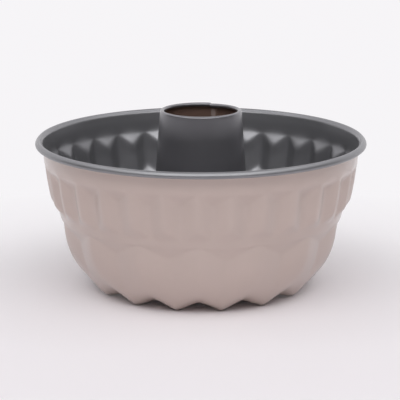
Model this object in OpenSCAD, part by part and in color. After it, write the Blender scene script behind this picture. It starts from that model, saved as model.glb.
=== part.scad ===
// Fluted ring cake pan: one pressed steel shell with a rolled rim, and a rolled steel centre tube.
// Millimetres, +Z up. The origin is on the table, on the pan's axis.

/* [Rim] */
// Outside diameter over the rolled bead
rim_d = 226; // [200:1:260]
// Height of the rim's top above the table
rim_h = 102.5; // [95:0.5:125]
// Diameter of the rolled bead
bead_d = 4.2; // [3.4:0.1:6]
// How far round the bead is rolled, in degrees
bead_turn = 285; // [200:5:300]
// Height of the plain collar under the bead
collar_h = 13.4; // [8:0.2:18]
// How far the bead stands out over the collar's lower edge
rim_overhang = 5.9; // [5:0.1:9]

/* [Sheet] */
// Thickness of the steel sheet
sheet = 0.6; // [0.4:0.05:1]

/* [Upper pleats] */
// Height of the pleated band
pleat_h = 25.5; // [16:0.5:30]
// Depth of a small pleat
pleat_depth = 5; // [2.5:0.25:6]
// Height of the sloping cap over each pleat's groove
pleat_cap_h = 8; // [5:0.5:10]
// How far the pleated band leans in from top to bottom
wall_lean = 3.8; // [1:0.2:6]

/* [Step] */
// Height of the sloping step at the pleats' lower ends
step_h = 7; // [4:0.5:10]
// How far the step goes in
step_in = 5.7; // [3.5:0.1:8]
// Height of the plain band between the step and the large flutes
band_h = 5; // [2:0.5:9]
// How far the band leans in from top to bottom
band_lean = 0.8; // [0.2:0.1:2]

/* [Large flutes] */
// Number of large flutes, each as wide as two pleats
flute_count = 15; // [10:1:18]
// Depth of a large flute's groove at its top
flute_depth = 5.2; // [3:0.2:8]
// Height of the sloping cap over each large groove
flute_cap_h = 8.5; // [6:0.5:14]
// Width of the rounded crest of each ridge
crest_w = 4; // [2:0.25:5]

/* [Bottom] */
// Radius of the ring of feet that the pan stands on
foot_r = 68; // [58:1:76]
// Radial length of each flat foot
foot_len = 6; // [3:0.5:8]
// Height of the notches between the feet
notch_h = 4.5; // [2:0.1:9]
// How far inside the ring of feet the notches lie
notch_in = 5.5; // [2:0.5:10]
// Height of the flat seat round the tube, from the table
seat_h = 9; // [7:0.5:14]
// Outer radius of the flat seat round the tube
seat_r = 44; // [42:0.5:48]

/* [Centre tube] */
// Height of the tube's top above the table
tube_h = 121.5; // [108:0.5:140]
// Outside diameter of the tube at its top
tube_top_d = 55.6; // [46:0.2:62]
// Outside diameter of the tube at its foot
tube_foot_d = 72.6; // [66:0.2:76]
// Width of the folded lip at the tube's top
lip_w = 3; // [2.4:0.1:4]
// Length of the lip's inner leg
lip_leg = 4; // [2:0.5:8]
// Width of the foot's flange under the seat
flange_w = 6; // [3:0.25:6.5]
// Height of the shell's neck round the tube
neck_h = 6; // [3:0.5:10]
// Width of the tube's lap seam
seam_w = 9; // [5:0.5:14]
// Place of the lap seam round the tube, from the front, in degrees
seam_at = 162; // [0:1:359]

/* [Fit] */
// Clearance between the tube and the shell's neck
tube_clear = 0.25; // [0.15:0.05:0.6]
// Turn of the first ridge from the front, in degrees
first_ridge = -1; // [-12:1:12]

/* [Hidden] */
$fn = 96;

// Directions: an azimuth of 0 is the front, -Y, and it grows towards +X.
function around(r, azimuth, z) = [r * sin(azimuth), -r * cos(azimuth), z];
function mix(a, b, t) = a + (b - a) * t;
function clamp(x) = min(1, max(0, x));

// Heights, from the rim down
bead_r = bead_d / 2;
bead_z = rim_h - bead_r;
collar_z = bead_z - collar_h;
step_z = collar_z - pleat_h;
band_z = step_z - step_h;
ledge_z = band_z - band_h;
// A soft bend this high separates the two sides of each crease where ridges meet a plain band
land = 1.5;

// Radii of the sheet's outer face, from the rim down
bead_axis_r = rim_d / 2 - bead_r;
collar_r = rim_d / 2 - rim_overhang;
step_r = collar_r - wall_lean;
band_r = step_r - step_in;
ledge_r = band_r - band_lean;
groove_r = ledge_r - flute_depth;

// The ridge line leans in ever faster down the pleated band.
lean_power = 1.3;
function ridge_r(z) = collar_r - wall_lean * pow((collar_z - z) / pleat_h, lean_power);

// The lower wall is two superellipse quarters: one down each ridge, one down each groove.
// They cross low down, so that each ridge ends in a notch and each groove ends in a foot.
ridge_power = 2;
groove_power = 1.5;
notch_r = foot_r - notch_in;
// The ridges' tops lie this little inside the band's lower edge.
ridge_in = 0.3;
function quarter(inner_r, outer_r, top_z, low_z, power, turn) =
    [inner_r + (outer_r - inner_r) * pow(cos(turn), 2 / power),
     top_z - (top_z - low_z) * pow(sin(turn), 2 / power)];
function ridge_point(turn) =
    quarter(notch_r, ledge_r - ridge_in, ledge_z - land, notch_h, ridge_power, turn);
function groove_point(turn) =
    quarter(foot_r + foot_len / 2, groove_r, ledge_z - flute_cap_h, 0, groove_power, turn);
lower_turns = [0, 16, 31, 44, 56, 67, 78, 90];

// The floor rises from the feet and notches to the flat seat round the tube.
function floor_point(low, t) =
    [mix(low[0], seat_r, t), mix(low[1], seat_h, (1 - cos(180 * t)) / 2)];
floor_steps = [0, 0.3, 0.62];

// Tube radii: the outer face of the cone at a height
tube_top_r = tube_top_d / 2;
tube_foot_r = tube_foot_d / 2;
function tube_r(z) = mix(tube_foot_r, tube_top_r, (z - seat_h) / (tube_h - seat_h));
bend_r = 1;
arc_steps = 8;

// Each row is [point on a ridge, point in a groove, true where the small pleats rule].
function plain(r, z) = [[r, z], [r, z], true];
function bead_row(turn) = plain(bead_axis_r - (bead_r - sheet) * cos(turn),
                                bead_z + (bead_r - sheet) * sin(turn));
bead_steps = 7;
// Size of the bend between the neck and the seat
neck_bend = 1.8;
neck_rows = [
    for (z = [seat_h + neck_h, seat_h + neck_bend]) plain(tube_r(z) + tube_clear, z),
    plain(tube_r(seat_h) + tube_clear + neck_bend, seat_h),
    plain(seat_r, seat_h)];
floor_rows = [
    for (i = [len(floor_steps) - 1 : -1 : 0])
        [floor_point([notch_r - foot_len / 2, notch_h], floor_steps[i]),
         floor_point([foot_r - foot_len / 2, 0], floor_steps[i]), false]];
flute_rows = [
    for (i = [len(lower_turns) - 1 : -1 : 0])
        [ridge_point(lower_turns[i]), groove_point(lower_turns[i]), false]];
mid_z = mix(collar_z, step_z, 0.5);
pleat_rows = [
    plain(ledge_r, ledge_z),
    plain(band_r, band_z),
    [[step_r, step_z], [band_r, band_z + land], true],
    [[ridge_r(mid_z), mid_z],
     [max(band_r, ridge_r(mid_z) - pleat_depth), mid_z - pleat_cap_h / 2], true],
    [[ridge_r(collar_z - land), collar_z - land],
     [ridge_r(collar_z - pleat_cap_h) - pleat_depth, collar_z - pleat_cap_h], true],
    plain(collar_r, collar_z)];
// The collar swells a little over its lower part, then flares this share of the way to the bead.
collar_swell = 0.5;
flare_from = 0.45;
flare_share = 0.7;
bead_rows = [
    plain(collar_r + collar_swell, bead_z - flare_from * collar_h),
    plain(mix(collar_r, bead_axis_r - bead_r + sheet, flare_share), bead_z - bead_r),
    for (i = [0 : bead_steps]) bead_row(bead_turn * i / bead_steps)];
rows = concat(neck_rows, floor_rows, flute_rows, pleat_rows, bead_rows);
row_count = len(rows);

// Columns: two at each pleat's crest and one in its groove
pleat_pitch = 180 / flute_count;
crest_half = crest_w / 2 / ledge_r * 180 / PI;
column_count = 6 * flute_count;
function column_turn(j) = floor(j / 3) * pleat_pitch + [-crest_half, crest_half, pleat_pitch / 2][j % 3];

// How far a column stands out: 1 on a crest, 0 in a groove
function stand_out(turn, pitch) =
    let (off = abs(turn - pitch * round(turn / pitch)))
    clamp((pitch / 2 - off) / (pitch / 2 - crest_half));
function flute_out(turn) =
    let (off = abs(turn - 2 * pleat_pitch * round(turn / (2 * pleat_pitch))))
    clamp((pleat_pitch - crest_half - off) / (pleat_pitch - 2 * crest_half));

// The outer face of the sheet, as a grid of points
outer = [
    for (row = rows) [
        for (j = [0 : column_count - 1])
            let (turn = column_turn(j),
                 out = row[2] ? stand_out(turn, pleat_pitch) : flute_out(turn),
                 p = mix(row[1], row[0], out))
            around(p[0], turn + first_ridge, p[1])]];

// The inner face lies one sheet thickness in along the surface's own normal at each point.
function wrap(j) = (j + column_count) % column_count;
function unit(v) = v / norm(v);
function face_normal(i, j) =
    let (up = unit(outer[min(i + 1, row_count - 1)][j] - outer[i][j]
                   + (i == row_count - 1 ? outer[i][j] - outer[i - 1][j] : [0, 0, 0])),
         down = unit(outer[i][j] - outer[max(i - 1, 0)][j]
                     + (i == 0 ? outer[1][j] - outer[0][j] : [0, 0, 0])),
         left = unit(outer[i][j] - outer[i][wrap(j - 1)]),
         right = unit(outer[i][wrap(j + 1)] - outer[i][j]))
    unit(cross(up + down, left + right));
inner = [
    for (i = [0 : row_count - 1]) [
        for (j = [0 : column_count - 1])
            outer[i][j] + sheet * face_normal(i, j)]];

// Numbers of the grid points, and the two triangles of each cell, split along its shorter diagonal
function point_at(side, i, j) = (side * row_count + i) * column_count + wrap(j);
function cell(grid, side, i, j) =
    let (a = point_at(side, i, j), b = point_at(side, i, j + 1),
         c = point_at(side, i + 1, j + 1), d = point_at(side, i + 1, j),
         k = wrap(j + 1),
         falling = norm(grid[i][j] - grid[i + 1][k]), rising = norm(grid[i][k] - grid[i + 1][j]))
    falling < rising ? [[a, b, c], [a, c, d]] : [[a, b, d], [b, c, d]];
function turned(face) = [face[2], face[1], face[0]];
outer_faces = [
    for (i = [0 : row_count - 2]) for (j = [0 : column_count - 1])
        for (face = cell(outer, 0, i, j)) turned(face)];
inner_faces = [
    for (i = [0 : row_count - 2]) for (j = [0 : column_count - 1])
        for (face = cell(inner, 1, i, j)) face];
edge_faces = [
    for (i = [0, row_count - 1]) for (j = [0 : column_count - 1])
        let (a = point_at(0, i, j), b = point_at(0, i, j + 1),
             c = point_at(1, i, j + 1), d = point_at(1, i, j))
        for (face = [[a, b, c], [a, c, d]]) i == 0 ? face : turned(face)];

// The pressed shell: neck, seat, footed floor, large flutes, band, step, pleats, collar, rolled bead
module fluted_shell() {
    color([0.69, 0.62, 0.6])
        polyhedron(points = [for (side = [outer, inner]) for (row = side) each row],
                   faces = concat(outer_faces, inner_faces, edge_faces), convexity = 12);
}

// Half section of the tube: flange, bend, leaning wall and the lip folded over to the inside.
// The path is the face that a depth of sheet lies under: 0 is the cake's side, sheet the other.
lip_r = lip_w / 2;
lean = atan((tube_foot_r - tube_top_r) / (tube_h - seat_h));
bend_axis = [tube_r(seat_h + bend_r * (1 - sin(lean))) + bend_r * cos(lean), seat_h + bend_r];
lip_axis = [tube_r(tube_h - lip_r * (1 - sin(lean))) - lip_r * cos(lean), tube_h - lip_r];
function arc(axis, r, from, to) =
    [for (i = [0 : arc_steps]) axis + r * [cos(mix(from, to, i / arc_steps)),
                                           sin(mix(from, to, i / arc_steps))]];
function tube_path(depth) = concat(
    [[tube_foot_r + flange_w, seat_h - depth]],
    arc(bend_axis, bend_r + depth, 270, 180 + lean),
    arc(lip_axis, lip_r - depth, lean, 180),
    [lip_axis - [lip_r - depth, lip_leg]]);
function reversed(list) = [for (i = [len(list) - 1 : -1 : 0]) list[i]];
module tube_section() {
    polygon(concat(tube_path(0), reversed(tube_path(sheet))));
}

// The lap of the rolled sheet: a second layer inside the cone. It starts a little above the foot's
// bend and bites into the cone, so that the two are one sheet.
lap_start = 2;
lap_bite = sheet / 2;
lap_depth = 1.9 * sheet;
module lap_seam() {
    seam_angle = seam_w / tube_top_r * 180 / PI;
    low = seat_h + bend_r + lap_start;
    high = tube_h - lip_w;
    rotate([0, 0, seam_at - 90 - seam_angle / 2])
        rotate_extrude(angle = seam_angle)
            polygon([[tube_r(low) - lap_bite, low], [tube_r(high) - lap_bite, high],
                     [tube_r(high) - lap_depth, high], [tube_r(low) - lap_depth, low]]);
}

// The centre tube: a rolled cone with a lap seam, a folded lip and a flanged foot
module centre_tube() {
    color([0.28, 0.28, 0.29]) {
        rotate_extrude() tube_section();
        lap_seam();
    }
}

fluted_shell();
centre_tube();
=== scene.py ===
import bmesh
import bpy
import math
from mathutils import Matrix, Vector


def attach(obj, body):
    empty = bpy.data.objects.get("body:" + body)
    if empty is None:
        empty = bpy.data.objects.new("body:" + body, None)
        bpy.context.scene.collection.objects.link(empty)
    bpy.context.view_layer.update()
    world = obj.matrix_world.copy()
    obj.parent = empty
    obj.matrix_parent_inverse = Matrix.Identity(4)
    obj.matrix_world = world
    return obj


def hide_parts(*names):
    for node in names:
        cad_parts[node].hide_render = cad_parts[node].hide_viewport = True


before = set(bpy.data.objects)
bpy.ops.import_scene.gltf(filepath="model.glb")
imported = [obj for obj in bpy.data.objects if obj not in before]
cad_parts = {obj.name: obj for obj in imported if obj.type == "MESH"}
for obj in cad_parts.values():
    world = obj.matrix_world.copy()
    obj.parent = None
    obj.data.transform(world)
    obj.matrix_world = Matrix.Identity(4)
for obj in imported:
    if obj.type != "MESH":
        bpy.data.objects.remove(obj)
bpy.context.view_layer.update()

# The pressed shell. One steel sheet, 0.6 mm thick, drawn into a bowl with 30 small pleats over 15
# large flutes. Its rim is rolled outwards, so the dark cooking coat of the inside wraps the bead.
# The outside has a satin taupe coat. The shell stands on the low ends of the 15 grooves.

# Sizes are in millimetres, and azimuths in degrees from the front. R is a radius, Z a height.
MM = 0.001
SHEET = 0.6
COLLAR_R, COLLAR_Z = 107.1, 87.0
STEP_R, STEP_Z = 103.3, 61.5
BAND_R, BAND_Z = 97.6, 54.5
LEDGE_R, LEDGE_Z = 96.8, 49.5
# Strips that stay plain above the band and under the collar
LAND = 1.5
WALL_LEAN, LEAN_CURVE = 3.8, 1.3
PLEAT_DEPTH, PLEAT_CAP = 5.0, 8.0
FLUTES, FIRST_RIDGE, FLUTE_DEPTH, FLUTE_CAP = 15, -1.0, 5.2, 8.5
# How far a ridge starts inside the ledge, and how round ridges and grooves bulge (2 is an ellipse)
RIDGE_IN, RIDGE_POWER, GROOVE_POWER = 0.3, 2.0, 1.5
FOOT_R, FOOT_LEN = 68.0, 6.0
NOTCH_R, NOTCH_Z = 62.5, 4.5
SEAT_R, SEAT_Z = 44.0, 9.0
NECK_H, NECK_BEND, TUBE_CLEAR = 6.0, 1.8, 0.25
TUBE_TOP_R, TUBE_TOP_Z, TUBE_FOOT_R = 27.8, 121.5, 36.3
# The collar's flare, then the four curves of the rim's roll, as radius and height
FLARE = ((107.15, 89.4), (107.3, 91.8), (107.5, 94.2), (107.8, 96.6), (108.1, 98.4))
ROLL = (((108.2, 99.2), (108.3, 99.8), (108.45, 100.1), (108.75, 100.4)),
        ((109.5, 101.1), (109.9, 101.9), (110.5, 102.15), (111.15, 101.4)),
        ((111.65, 100.85), (112.38, 100.0), (112.6, 98.75), (111.45, 98.75)),
        ((111.0, 98.75), (110.4, 98.85), (109.9, 99.2), (109.4, 99.8)))
# Points on each curve of the roll, rows on the bottom, and columns round the shell
ROLL_POINTS, BOTTOM_ROWS, COLUMNS = 7, 12, 450
# How sharp the crests are (1 is a knife edge), and how many rounds soften the creases
PLEAT_CREST, FLUTE_CREST, SOFTENING = 0.965, 0.985, 3
# Rows at the neck and at the rim that the softening leaves alone
STIFF_NECK, STIFF_RIM = 11, len(ROLL) * ROLL_POINTS + 3


def between(a, b, t):
    return tuple(x + (y - x) * t for x, y in zip(a, b))


def cone_r(z):
    """Outer radius of the centre tube at a height."""
    return TUBE_FOOT_R + (TUBE_TOP_R - TUBE_FOOT_R) * (z - SEAT_Z) / (TUBE_TOP_Z - SEAT_Z)


def wall_r(z):
    """Radius of the pleats' crests at a height."""
    return COLLAR_R - WALL_LEAN * ((COLLAR_Z - z) / (COLLAR_Z - STEP_Z)) ** LEAN_CURVE


def bottom_point(low, t):
    """A point on the bottom, from its low end at 0 to the seat at 1, level at both ends."""
    rise = (1 - math.cos(math.pi * t)) / 2
    return (low[0] + (SEAT_R - low[0]) * t, low[1] + (SEAT_Z - low[1]) * rise)


def bowl_point(top, low, power, turn):
    """A point on the lower wall's rounded quarter: a turn of 0 is its top, 90 its low end."""
    a = math.radians(turn)
    return (low[0] + (top[0] - low[0]) * math.cos(a) ** (2 / power),
            top[1] - (top[1] - low[1]) * math.sin(a) ** (2 / power))


def curve_point(ends, t):
    """A point on the cubic curve of four given points."""
    return tuple((1 - t) ** 3 * a + 3 * t * (1 - t) ** 2 * b + 3 * t * t * (1 - t) * c + t ** 3 * d
                 for a, b, c, d in zip(*ends))


def section_rows():
    """The outer face from neck to rim: rows of crest point, groove point and the pleats' share.

    A share of 1 makes a row follow the pleats all round, and 0 the flutes.
    """
    rows = []

    def plain(r, z):
        rows.append(((r, z), (r, z), 1.0))

    def run(crest, groove, share, steps):
        """Adds evenly spaced rows from the last row to the given one."""
        last_crest, last_groove, _ = rows[-1]
        for i in range(1, steps + 1):
            rows.append((between(last_crest, crest, i / steps),
                         between(last_groove, groove, i / steps), share))

    for part in (1, 2 / 3, 0.4):
        z = SEAT_Z + NECK_H * part
        plain(cone_r(z) + TUBE_CLEAR, z)
    for turn in (15, 40, 65, 90):
        a = math.radians(turn)
        plain(cone_r(SEAT_Z) + TUBE_CLEAR + NECK_BEND * (1 - math.cos(a)),
              SEAT_Z + NECK_BEND * (1 - math.sin(a)))
    seat = (SEAT_R, SEAT_Z)
    run(seat, seat, 1.0, steps=3)

    notch, foot = (NOTCH_R - FOOT_LEN / 2, NOTCH_Z), (FOOT_R - FOOT_LEN / 2, 0.0)
    for i in reversed(range(BOTTOM_ROWS)):
        t = i / BOTTOM_ROWS
        rows.append((bottom_point(notch, t), bottom_point(foot, t), 0.0))

    ridge_top, ridge_low = (LEDGE_R - RIDGE_IN, LEDGE_Z), (NOTCH_R, NOTCH_Z)
    groove_top = (LEDGE_R - FLUTE_DEPTH, LEDGE_Z - FLUTE_CAP)
    groove_low = (FOOT_R + FOOT_LEN / 2, 0.0)
    for turn in (90, 88, *range(85, 5, -4), 6, 3, 0):
        rows.append((bowl_point(ridge_top, ridge_low, RIDGE_POWER, turn),
                     bowl_point(groove_top, groove_low, GROOVE_POWER, turn), 0.0))

    ledge, band, collar = (LEDGE_R, LEDGE_Z), (BAND_R, BAND_Z), (COLLAR_R, COLLAR_Z)
    run(ledge, ledge, 0.0, steps=5)
    run(band, band, 1.0, steps=3)
    run((STEP_R, STEP_Z), (BAND_R, BAND_Z + LAND), 1.0, steps=5)
    mid_z, cap_z, land_z = (COLLAR_Z + STEP_Z) / 2, COLLAR_Z - PLEAT_CAP, COLLAR_Z - LAND
    run((wall_r(mid_z), mid_z), (wall_r(mid_z) - PLEAT_DEPTH, mid_z - PLEAT_CAP / 2), 1.0, steps=6)
    run((wall_r(land_z), land_z), (wall_r(cap_z) - PLEAT_DEPTH, cap_z), 1.0, steps=6)
    run(collar, collar, 1.0, steps=5)

    for r, z in FLARE:
        plain(r, z)
    for curve in ROLL:
        for i in range(ROLL_POINTS):
            plain(*curve_point(curve, i / (ROLL_POINTS - 1)))
    return rows


rows = section_rows()
section = bpy.data.meshes.new("shell_section")
section.from_pydata([(r * MM, 0, z * MM) for (r, z), _, _ in rows], [], [])
for name, kind in (("groove", "FLOAT_VECTOR"), ("share", "FLOAT"), ("soft", "FLOAT")):
    section.attributes.new(name, kind, "POINT")
for i, (_, (r, z), share) in enumerate(rows):
    section.attributes["groove"].data[i].vector = (r * MM, 0, z * MM)
    section.attributes["share"].data[i].value = share
    section.attributes["soft"].data[i].value = float(STIFF_NECK <= i < len(rows) - STIFF_RIM)
shell = bpy.data.objects.new("pan_shell", section)
bpy.context.scene.collection.objects.link(shell)


def node(tree, kind, links=(), **settings):
    """Adds a node, sets its settings, and joins or sets each (input, source or value)."""
    made = tree.nodes.new(kind)
    for name, value in settings.items():
        setattr(made, name, value)
    for socket, source in links:
        if isinstance(source, bpy.types.NodeSocket):
            tree.links.new(source, made.inputs[socket])
        else:
            made.inputs[socket].default_value = source
    return made


def calc(tree, operation, *values):
    """One Math node of the tree, and its result."""
    return node(tree, "ShaderNodeMath", list(enumerate(values)), operation=operation).outputs[0]


def mixed_colour(tree, factor, colour, other):
    """A Mix node of two colours, which are its inputs 6 and 7, and its result, output 2."""
    return node(tree, "ShaderNodeMix", [(0, factor), (6, colour), (7, other)],
                data_type="RGBA").outputs[2]


# The sprayed coats: how far their tone and gloss drift in broad clouds, and the flecks' part of it
TONE_DRIFT, GLOSS_DRIFT, FLECK_PART = 0.05, 0.06, 0.2
COAT_ROUGHNESS = 0.18


def finish_coat(name, colour, roughness, coat, metal):
    """A sprayed and baked coat with a clear gloss, faint clouds and flecks, and a fine peel."""
    material = bpy.data.materials.new(name)
    material.use_nodes = True
    tree = material.node_tree
    shader = tree.nodes["Principled BSDF"]
    shader.inputs["Metallic"].default_value = metal
    shader.inputs["Coat Weight"].default_value = coat
    shader.inputs["Coat Roughness"].default_value = COAT_ROUGHNESS
    where = node(tree, "ShaderNodeTexCoord").outputs["Object"]
    cloud = node(tree, "ShaderNodeTexNoise",
                 [("Vector", where), ("Scale", 28.0), ("Detail", 4.0), ("Roughness", 0.55)])
    fleck = node(tree, "ShaderNodeTexNoise",
                 [("Vector", where), ("Scale", 2600.0), ("Detail", 2.0)])
    drift = calc(tree, "MULTIPLY_ADD", cloud.outputs[0], 1 - FLECK_PART,
                 calc(tree, "MULTIPLY", fleck.outputs[0], FLECK_PART))
    darker = (*[c * (1 - TONE_DRIFT) for c in colour], 1.0)
    lighter = (*[c * (1 + TONE_DRIFT) for c in colour], 1.0)
    tree.links.new(mixed_colour(tree, drift, darker, lighter), shader.inputs["Base Color"])
    tree.links.new(calc(tree, "MULTIPLY_ADD", cloud.outputs[0], GLOSS_DRIFT,
                        roughness - GLOSS_DRIFT / 2), shader.inputs["Roughness"])
    peel = node(tree, "ShaderNodeTexNoise",
                [("Vector", where), ("Scale", 900.0), ("Detail", 2.0)])
    bump = node(tree, "ShaderNodeBump",
                [("Height", peel.outputs[0]), ("Strength", 0.08), ("Distance", 0.0001)])
    tree.links.new(bump.outputs[0], shader.inputs["Normal"])
    return material


taupe = finish_coat("taupe_coat", colour=(0.555, 0.45, 0.409), roughness=0.38, coat=0.7,
                    metal=0.15)
nonstick = finish_coat("dark_cooking_coat", colour=(0.27, 0.27, 0.284), roughness=0.42, coat=0.3,
                       metal=0.78)

# The tree bends the section round the axis: a column stands out as far as the wave says.
press = bpy.data.node_groups.new("pressed_sheet", "GeometryNodeTree")
press.interface.new_socket("Geometry", in_out="INPUT", socket_type="NodeSocketGeometry")
press.interface.new_socket("Geometry", in_out="OUTPUT", socket_type="NodeSocketGeometry")
press_values = {}
for name, kind, value in (("Columns", "NodeSocketInt", COLUMNS),
                          ("Flutes", "NodeSocketInt", FLUTES),
                          ("First ridge", "NodeSocketFloat", math.radians(FIRST_RIDGE)),
                          ("Pleat crest", "NodeSocketFloat", PLEAT_CREST),
                          ("Flute crest", "NodeSocketFloat", FLUTE_CREST),
                          ("Crease softening", "NodeSocketInt", SOFTENING),
                          ("Coat", "NodeSocketMaterial", taupe)):
    socket = press.interface.new_socket(name, in_out="INPUT", socket_type=kind)
    press_values[socket.identifier] = value
given = press.nodes.new("NodeGroupInput").outputs


def in_press(operation, *values):
    return calc(press, operation, *values)


def named(kind, name):
    return node(press, "GeometryNodeInputNamedAttribute", [("Name", name)],
                data_type=kind).outputs["Attribute"]


position = node(press, "GeometryNodeInputPosition").outputs["Position"]
section_size = node(press, "GeometryNodeAttributeDomainSize", [(0, given["Geometry"])])
last_row = in_press("SUBTRACT", section_size.outputs["Point Count"], 1.0)
blank = node(press, "GeometryNodeMeshCylinder",
             [("Vertices", given["Columns"]), ("Side Segments", last_row),
              ("Radius", 1.0), ("Depth", 1.0)], fill_type="NONE").outputs["Mesh"]
on_blank = node(press, "ShaderNodeSeparateXYZ", [(0, position)]).outputs
blank_foot = node(press, "GeometryNodeAttributeStatistic",
                  [("Geometry", blank), (2, on_blank["Z"])]).outputs["Min"]
row = in_press("ROUND", in_press("MULTIPLY", in_press("SUBTRACT", on_blank["Z"], blank_foot),
                                 last_row))
azimuth = in_press("ARCTAN2", on_blank["X"], in_press("MULTIPLY", on_blank["Y"], -1.0))


def of_row(kind, value):
    """A value of the section's own point, for every point of its row."""
    return node(press, "GeometryNodeSampleIndex",
                [("Geometry", given["Geometry"]), ("Value", value), ("Index", row)],
                data_type=kind, domain="POINT").outputs["Value"]


def wave(crests, sharpness):
    """From 1 on a crest to 0 in a groove, as a triangle with softly rounded turns."""
    turned = in_press("MULTIPLY", in_press("SUBTRACT", azimuth, given["First ridge"]), crests)
    bent = in_press("ARCSINE", in_press("MULTIPLY", in_press("COSINE", turned), sharpness))
    whole = in_press("MULTIPLY", 2.0, in_press("ARCSINE", sharpness))
    return in_press("ADD", in_press("DIVIDE", bent, whole), 0.5)


crest = node(press, "ShaderNodeSeparateXYZ", [(0, of_row("FLOAT_VECTOR", position))]).outputs
groove = node(press, "ShaderNodeSeparateXYZ",
              [(0, of_row("FLOAT_VECTOR", named("FLOAT_VECTOR", "groove")))]).outputs
pleats = wave(in_press("MULTIPLY", given["Flutes"], 2.0), given["Pleat crest"])
flutes = wave(given["Flutes"], given["Flute crest"])
stands_out = in_press("MULTIPLY_ADD", in_press("SUBTRACT", pleats, flutes),
                      of_row("FLOAT", named("FLOAT", "share")), flutes)


def across(axis):
    """The sheet's radius (X) or height (Z), between its groove and its crest."""
    return in_press("MULTIPLY_ADD", in_press("SUBTRACT", crest[axis], groove[axis]), stands_out,
                    groove[axis])


radius = across("X")
forward = in_press("MULTIPLY", in_press("COSINE", azimuth), -1.0)
point = node(press, "ShaderNodeCombineXYZ",
             [("X", in_press("MULTIPLY", radius, in_press("SINE", azimuth))),
              ("Y", in_press("MULTIPLY", radius, forward)),
              ("Z", across("Z"))])
marked = node(press, "GeometryNodeStoreNamedAttribute",
              [("Geometry", blank), ("Name", "soft"),
               ("Value", of_row("FLOAT", named("FLOAT", "soft")))],
              data_type="FLOAT", domain="POINT")
formed = node(press, "GeometryNodeSetPosition",
              [("Geometry", marked.outputs["Geometry"]), ("Position", point.outputs[0])])
eased = node(press, "GeometryNodeBlurAttribute",
             [("Value", position), ("Iterations", given["Crease softening"]),
              ("Weight", named("FLOAT", "soft"))], data_type="FLOAT_VECTOR")
softened = node(press, "GeometryNodeSetPosition",
                [("Geometry", formed.outputs["Geometry"]), ("Position", eased.outputs[0])])
smooth = node(press, "GeometryNodeSetShadeSmooth", [(0, softened.outputs["Geometry"])])
real = node(press, "GeometryNodeRealizeInstances", [(0, smooth.outputs[0])])
coated = node(press, "GeometryNodeSetMaterial", [(0, real.outputs[0]), ("Material", given["Coat"])])
node(press, "NodeGroupOutput", [(0, coated.outputs[0])])

pressing = shell.modifiers.new("pressing", "NODES")
pressing.node_group = press
for identifier, value in press_values.items():
    pressing[identifier] = value
gauge = shell.modifiers.new("gauge", "SOLIDIFY")
gauge.thickness = SHEET * MM
gauge.offset = -1
gauge.use_even_offset = False
seen = shell.evaluated_get(bpy.context.evaluated_depsgraph_get())
pressed_mesh = bpy.data.meshes.new_from_object(seen)
shell.modifiers.clear()
shell.data = pressed_mesh
pressed_mesh.materials.clear()
pressed_mesh.materials.append(taupe)
pressed_mesh.materials.append(nonstick)
# The outer face's quads come first, then the inner face and the two cut edges.
outer_faces = (len(rows) - 1) * COLUMNS
for face in pressed_mesh.polygons:
    face.material_index = 0 if face.index < outer_faces else 1
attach(shell, "root")
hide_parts("fluted_shell")

# The centre tube. One steel sheet rolled to a cone, its ends lapped and spot welded down the back,
# with the top folded over to the inside and a flange at the foot, crimped under the shell's seat.
# Outside it has the dark cooking coat, and in the bore the taupe one, painted much darker and
# browner there as painted shade.

# The lip's roll and the angle of its section at which it ends, then the flange and its bend
LIP_R, LIP_CURL, FLANGE, FOOT_BEND = 1.5, 235, 6.0, 1.0
FOOT_STEPS, CONE_STEPS, LIP_STEPS, TUBE_COLUMNS = 6, 40, 18, 240
# Where the lap starts and ends round the tube, how far it stops short of the seat and of the top,
# and its gap to the sheet around it
SEAM_FROM, SEAM_TO = 154.5, 165.0
LAP_LOW, LAP_HIGH, LAP_GAP = 3.0, 2.4, 0.02
LAP_ROWS, LAP_COLUMNS = 30, 12
# The lip sinks by the dip, over the reach in degrees, up to the lap's edge, where it steps up again
LIP_DIP, DIP_REACH, EDGE_BEFORE, EDGE_AFTER = 0.55, 70, 0.2, 0.4
lean = math.atan((TUBE_FOOT_R - TUBE_TOP_R) / (TUBE_TOP_Z - SEAT_Z))


def arc(centre, r, start, end, steps):
    """Points on an arc of a section, with its angles in radians."""
    angles = [start + (end - start) * i / steps for i in range(steps + 1)]
    return [(centre[0] + r * math.cos(a), centre[1] + r * math.sin(a)) for a in angles]


def tube_path(depth):
    """The tube's section at a depth under its outer face, from the flange up and over the lip."""
    bend_axis = (cone_r(SEAT_Z + FOOT_BEND * (1 - math.sin(lean))) + FOOT_BEND * math.cos(lean),
                 SEAT_Z + FOOT_BEND)
    lip_axis = (cone_r(TUBE_TOP_Z - LIP_R * (1 - math.sin(lean))) - LIP_R * math.cos(lean),
                TUBE_TOP_Z - LIP_R)
    flange = [(TUBE_FOOT_R + width, SEAT_Z - depth) for width in (FLANGE, FLANGE / 2)]
    bend = arc(bend_axis, FOOT_BEND + depth, math.radians(270), math.radians(180) + lean,
               FOOT_STEPS)
    lip = arc(lip_axis, LIP_R - depth, lean, math.radians(LIP_CURL), LIP_STEPS)
    cone = [between(bend[-1], lip[0], i / CONE_STEPS) for i in range(1, CONE_STEPS)]
    return flange + bend + cone + lip


def turn_to(r, azimuth_degrees, z):
    a = math.radians(azimuth_degrees)
    return (r * math.sin(a) * MM, -r * math.cos(a) * MM, z * MM)


def tube_outline(azimuth_degrees):
    """The sheet's closed outline at an azimuth, its outer face first."""
    past = (SEAM_TO - azimuth_degrees) % 360
    dip = LIP_DIP * max(0.0, 1 - past / DIP_REACH)
    path = tube_path(0.0) + tube_path(SHEET)[::-1]
    return [(r, z - dip if z > TUBE_TOP_Z - 2 * LIP_R else z) for r, z in path]


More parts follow.
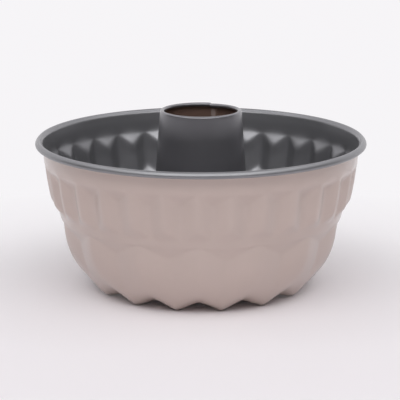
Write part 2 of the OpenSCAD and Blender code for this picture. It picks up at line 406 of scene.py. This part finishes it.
def lap_outline(azimuth_degrees):
    """The closed outline of the lapped end, which lies against the tube's inner face."""
    low, high = SEAT_Z + LAP_LOW, TUBE_TOP_Z - LAP_HIGH
    heights = [low + (high - low) * i / LAP_ROWS for i in range(LAP_ROWS + 1)]
    return ([(cone_r(z) - SHEET - LAP_GAP, z) for z in heights]
            + [(cone_r(z) - 2 * SHEET, z) for z in reversed(heights)])


def skin(name, outline_at, azimuths, closed):
    """A sheet carried round the axis: its closed outline at each azimuth, joined to the next."""
    outlines = [outline_at(a) for a in azimuths]
    n = len(outlines[0])
    points = [turn_to(r, a, z) for a, outline in zip(azimuths, outlines) for r, z in outline]
    faces = []
    for j in range(len(azimuths) if closed else len(azimuths) - 1):
        k = (j + 1) % len(azimuths)
        for i in range(n):
            m = (i + 1) % n
            faces.append((j * n + i, k * n + i, k * n + m, j * n + m))
    if not closed:
        for end in (0, (len(azimuths) - 1) * n):
            faces += [(end + i, end + i + 1, end + n - 2 - i, end + n - 1 - i)
                      for i in range(n // 2 - 1)]
    mesh = bpy.data.meshes.new(name)
    mesh.from_pydata(points, [], faces)
    shape = bmesh.new()
    shape.from_mesh(mesh)
    bmesh.ops.recalc_face_normals(shape, faces=shape.faces)
    for face in shape.faces:
        face.smooth = True
    shape.to_mesh(mesh)
    shape.free()
    return mesh


round_tube = 360 - EDGE_BEFORE - EDGE_AFTER
tube_turns = [SEAM_TO + EDGE_AFTER + round_tube * i / (TUBE_COLUMNS - 1)
              for i in range(TUBE_COLUMNS)]
tube = bpy.data.objects.new("centre_tube_sheet",
                            skin("centre_tube", tube_outline, tube_turns, closed=True))
lap_turns = [SEAM_FROM + (SEAM_TO - SEAM_FROM) * i / LAP_COLUMNS for i in range(LAP_COLUMNS + 1)]
lap = bpy.data.objects.new("lap_end", skin("lap_end", lap_outline, lap_turns, closed=False))

tube_coat = finish_coat("dark_tube_coat", colour=(0.215, 0.212, 0.228), roughness=0.36, coat=0.5,
                        metal=0.78)
# The bore's colour is the taupe coat darkened to a deep brown, as painted shade for the inside of
# the tube.
bore = finish_coat("tube_bore_painted_shade_taupe", colour=(0.19, 0.12, 0.095), roughness=0.5, coat=0.1,
                   metal=0.0)

# The weld marks: pale ovals in a row up the lap, full as far as the middle and gone at the edge.
WELD_HEIGHTS, WELD_IN = (42.0, 78.0, 114.0), 3.5
WELD_MIDDLE, WELD_EDGE, WELD_SQUASH = 1.0, 2.4, (1.0, 1.0, 0.55)
WELD_COLOUR = (0.37, 0.29, 0.265, 1)
bore_tree = bore.node_tree
in_bore = node(bore_tree, "ShaderNodeTexCoord").outputs["Object"]
nearest = None
for z in WELD_HEIGHTS:
    spot = turn_to(cone_r(z) - 2 * SHEET, SEAM_TO - WELD_IN, z)
    apart = node(bore_tree, "ShaderNodeVectorMath", [(0, in_bore), (1, spot)],
                 operation="SUBTRACT").outputs[0]
    squashed = node(bore_tree, "ShaderNodeVectorMath", [(0, apart), (1, WELD_SQUASH)],
                    operation="MULTIPLY").outputs[0]
    away = node(bore_tree, "ShaderNodeVectorMath", [(0, squashed)],
                operation="LENGTH").outputs["Value"]
    nearest = away if nearest is None else calc(bore_tree, "MINIMUM", nearest, away)
weld = node(bore_tree, "ShaderNodeMapRange",
            [("Value", nearest), ("From Min", WELD_EDGE * MM), ("From Max", WELD_MIDDLE * MM)],
            interpolation_type="SMOOTHSTEP").outputs[0]
bore_colour = bore_tree.nodes["Principled BSDF"].inputs["Base Color"]
bore_tree.links.new(mixed_colour(bore_tree, weld, bore_colour.links[0].from_socket, WELD_COLOUR),
                    bore_colour)

outline_points = len(tube_outline(SEAM_TO))
for piece in (tube, lap):
    bpy.context.scene.collection.objects.link(piece)
    piece.data.materials.append(tube_coat)
    piece.data.materials.append(bore)
    for face in piece.data.polygons:
        outside = piece is tube and face.index % outline_points < outline_points // 2
        face.material_index = 0 if outside else 1
    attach(piece, "root")
    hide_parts("centre_tube")

# The studio. A seamless sweep of pale paper, one large soft lamp above the camera and two weak
# fills. Behind the pan the paper shows near-white to the camera and in reflections, and casts no
# light. In front of the pan it is plain paper, which keeps the shadow.

# Sizes and places are in metres from here on, and lamps in watts.
WALL_Y, WALL_TOP, SWEEP_CURVE, SWEEP_FRONT, SWEEP_SIDE = 3.0, 7.0, 1.2, -5.0, 8.0
CURVE_STEPS = 16
# The paper goes from plain to near-white as its distances behind the axis and from it add up
FADE_FROM, FADE_TO = 0.01, 0.56
sweep_turns = [math.pi / 2 * i / CURVE_STEPS for i in range(1, CURVE_STEPS + 1)]
sweep_path = [(SWEEP_FRONT, 0.0), (WALL_Y - SWEEP_CURVE, 0.0)]
sweep_path += [(WALL_Y - SWEEP_CURVE * (1 - math.sin(a)), SWEEP_CURVE * (1 - math.cos(a)))
               for a in sweep_turns]
sweep_path += [(WALL_Y, WALL_TOP)]
sweep = bpy.data.meshes.new("sweep")
sweep.from_pydata([(x, y, z) for y, z in sweep_path for x in (-SWEEP_SIDE, SWEEP_SIDE)], [],
                  [(2 * i, 2 * i + 1, 2 * i + 3, 2 * i + 2) for i in range(len(sweep_path) - 1)])
for face in sweep.polygons:
    face.use_smooth = True
floor = bpy.data.objects.new("studio_sweep", sweep)
bpy.context.scene.collection.objects.link(floor)

paper = bpy.data.materials.new("pale_paper")
paper.use_nodes = True
paper_tree = paper.node_tree
matt = paper_tree.nodes["Principled BSDF"]
matt.inputs["Base Color"].default_value = (0.89, 0.86, 0.885, 1)
matt.inputs["Roughness"].default_value = 0.9
matt.inputs["Specular IOR Level"].default_value = 0.1
white = node(paper_tree, "ShaderNodeEmission",
             [("Color", (0.925, 0.91, 0.93, 1)), ("Strength", 1.0)])
on_floor = node(paper_tree, "ShaderNodeTexCoord").outputs["Object"]
behind = node(paper_tree, "ShaderNodeSeparateXYZ", [(0, on_floor)]).outputs["Y"]
reach = node(paper_tree, "ShaderNodeVectorMath", [(0, on_floor)],
             operation="LENGTH").outputs["Value"]
fade = node(paper_tree, "ShaderNodeMapRange",
            [("Value", calc(paper_tree, "ADD", behind, reach)),
             ("From Min", FADE_FROM), ("From Max", FADE_TO)]).outputs[0]


def ray_share(tree, *kinds):
    """1 for a ray of any of these kinds, and 0 for the others."""
    rays = node(tree, "ShaderNodeLightPath").outputs
    share = rays[kinds[0]]
    for kind in kinds[1:]:
        share = calc(tree, "MAXIMUM", share, rays[kind])
    return share


seen_ray = ray_share(paper_tree, "Is Camera Ray", "Is Glossy Ray", "Is Transmission Ray")
shown = node(paper_tree, "ShaderNodeMixShader",
             [(0, calc(paper_tree, "MULTIPLY", fade, seen_ray)), (1, matt.outputs[0]),
              (2, white.outputs[0])])
paper_tree.links.new(shown.outputs[0], paper_tree.nodes["Material Output"].inputs["Surface"])
sweep.materials.append(paper)

PAN_MIDDLE = (0, 0, 0.06)


def lamp(name, place, size, watts):
    """A soft rectangular lamp that is turned to the pan's middle."""
    light = bpy.data.lights.new(name, "AREA")
    light.shape = "RECTANGLE"
    light.size, light.size_y = size
    light.energy = watts
    stand = bpy.data.objects.new(name, light)
    stand.location = place
    stand.rotation_euler = (Vector(PAN_MIDDLE) - Vector(place)).to_track_quat("-Z", "Y").to_euler()
    bpy.context.scene.collection.objects.link(stand)
    return stand


lamp("soft_key", place=(0.0, -0.95, 1.7), size=(2.4, 1.3), watts=15)
overhead = lamp("overhead", place=(0.0, 0.0, 2.0), size=(2.2, 1.6), watts=5)
front_fill = lamp("front_fill", place=(0.0, -4.0, 0.77), size=(2.9, 1.1), watts=16.5)
overhead.visible_glossy = False
front_fill.visible_glossy = False

# The world: a soft band of light high round the pan that fades out overhead, a dim sky under it
# that only reflections show, and a pale ground that the camera sees past the sweep's edges.
BAND_FROM, BAND_FULL, BAND_STRENGTH, CROWN_FROM, CROWN_FULL = 0.45, 0.8, 1.8, 0.84, 0.9
LOW_SKY_TOP, LOW_SKY_STRENGTH, GROUND_STRENGTH = 0.7, 0.13, 0.9
world = bpy.data.worlds.new("studio")
world.use_nodes = True
world_tree = world.node_tree
sky = world_tree.nodes["Background"]
sky.inputs["Color"].default_value = (1, 0.99, 1, 1)
up = node(world_tree, "ShaderNodeSeparateXYZ",
          [(0, node(world_tree, "ShaderNodeTexCoord").outputs["Generated"])]).outputs["Z"]
rising = node(world_tree, "ShaderNodeMapRange",
              [("Value", up), ("From Min", BAND_FROM), ("From Max", BAND_FULL),
               ("To Max", BAND_STRENGTH)], interpolation_type="SMOOTHSTEP").outputs[0]
crown = node(world_tree, "ShaderNodeMapRange",
             [("Value", up), ("From Min", CROWN_FROM), ("From Max", CROWN_FULL), ("To Min", 1.0),
              ("To Max", 0.0)], interpolation_type="SMOOTHSTEP").outputs[0]
band_light = calc(world_tree, "MULTIPLY", rising, crown)
low_sky = calc(world_tree, "MULTIPLY", calc(world_tree, "LESS_THAN", up, LOW_SKY_TOP),
               LOW_SKY_STRENGTH)
mirrored = calc(world_tree, "MULTIPLY", low_sky,
                ray_share(world_tree, "Is Glossy Ray", "Is Transmission Ray"))
ground = calc(world_tree, "MULTIPLY", ray_share(world_tree, "Is Camera Ray"), GROUND_STRENGTH)
world_tree.links.new(calc(world_tree, "MAXIMUM", band_light,
                          calc(world_tree, "MAXIMUM", ground, mirrored)), sky.inputs["Strength"])
bpy.context.scene.world = world

# The camera. It stands in front of the pan and looks along +Y and down, at the photograph's angle.
# The rim's centre comes out a little right of the middle of a 400-pixel picture, and well above it.
RIM_CENTRE_Z, CAMERA_DISTANCE, CAMERA_ABOVE = 0.1004, 1.2, 11.633
PICTURE_PIXELS, FOCAL_PIXELS, RIM_RIGHT_PIXELS, RIM_UP_PIXELS = 400, 1754.2, 0.85, 60.22
camera_data = bpy.data.cameras.new("camera")
camera_data.lens = FOCAL_PIXELS * camera_data.sensor_width / PICTURE_PIXELS
camera = bpy.data.objects.new("camera", camera_data)
above = math.radians(CAMERA_ABOVE)
camera.location = (0, -CAMERA_DISTANCE * math.cos(above),
                   RIM_CENTRE_Z + CAMERA_DISTANCE * math.sin(above))
tilt = above + math.atan(RIM_UP_PIXELS / FOCAL_PIXELS)
camera.rotation_euler = (math.pi / 2 - tilt, 0, math.atan(RIM_RIGHT_PIXELS / FOCAL_PIXELS))
bpy.context.scene.collection.objects.link(camera)
bpy.context.scene.camera = camera
bpy.context.scene.view_settings.view_transform = "Standard"
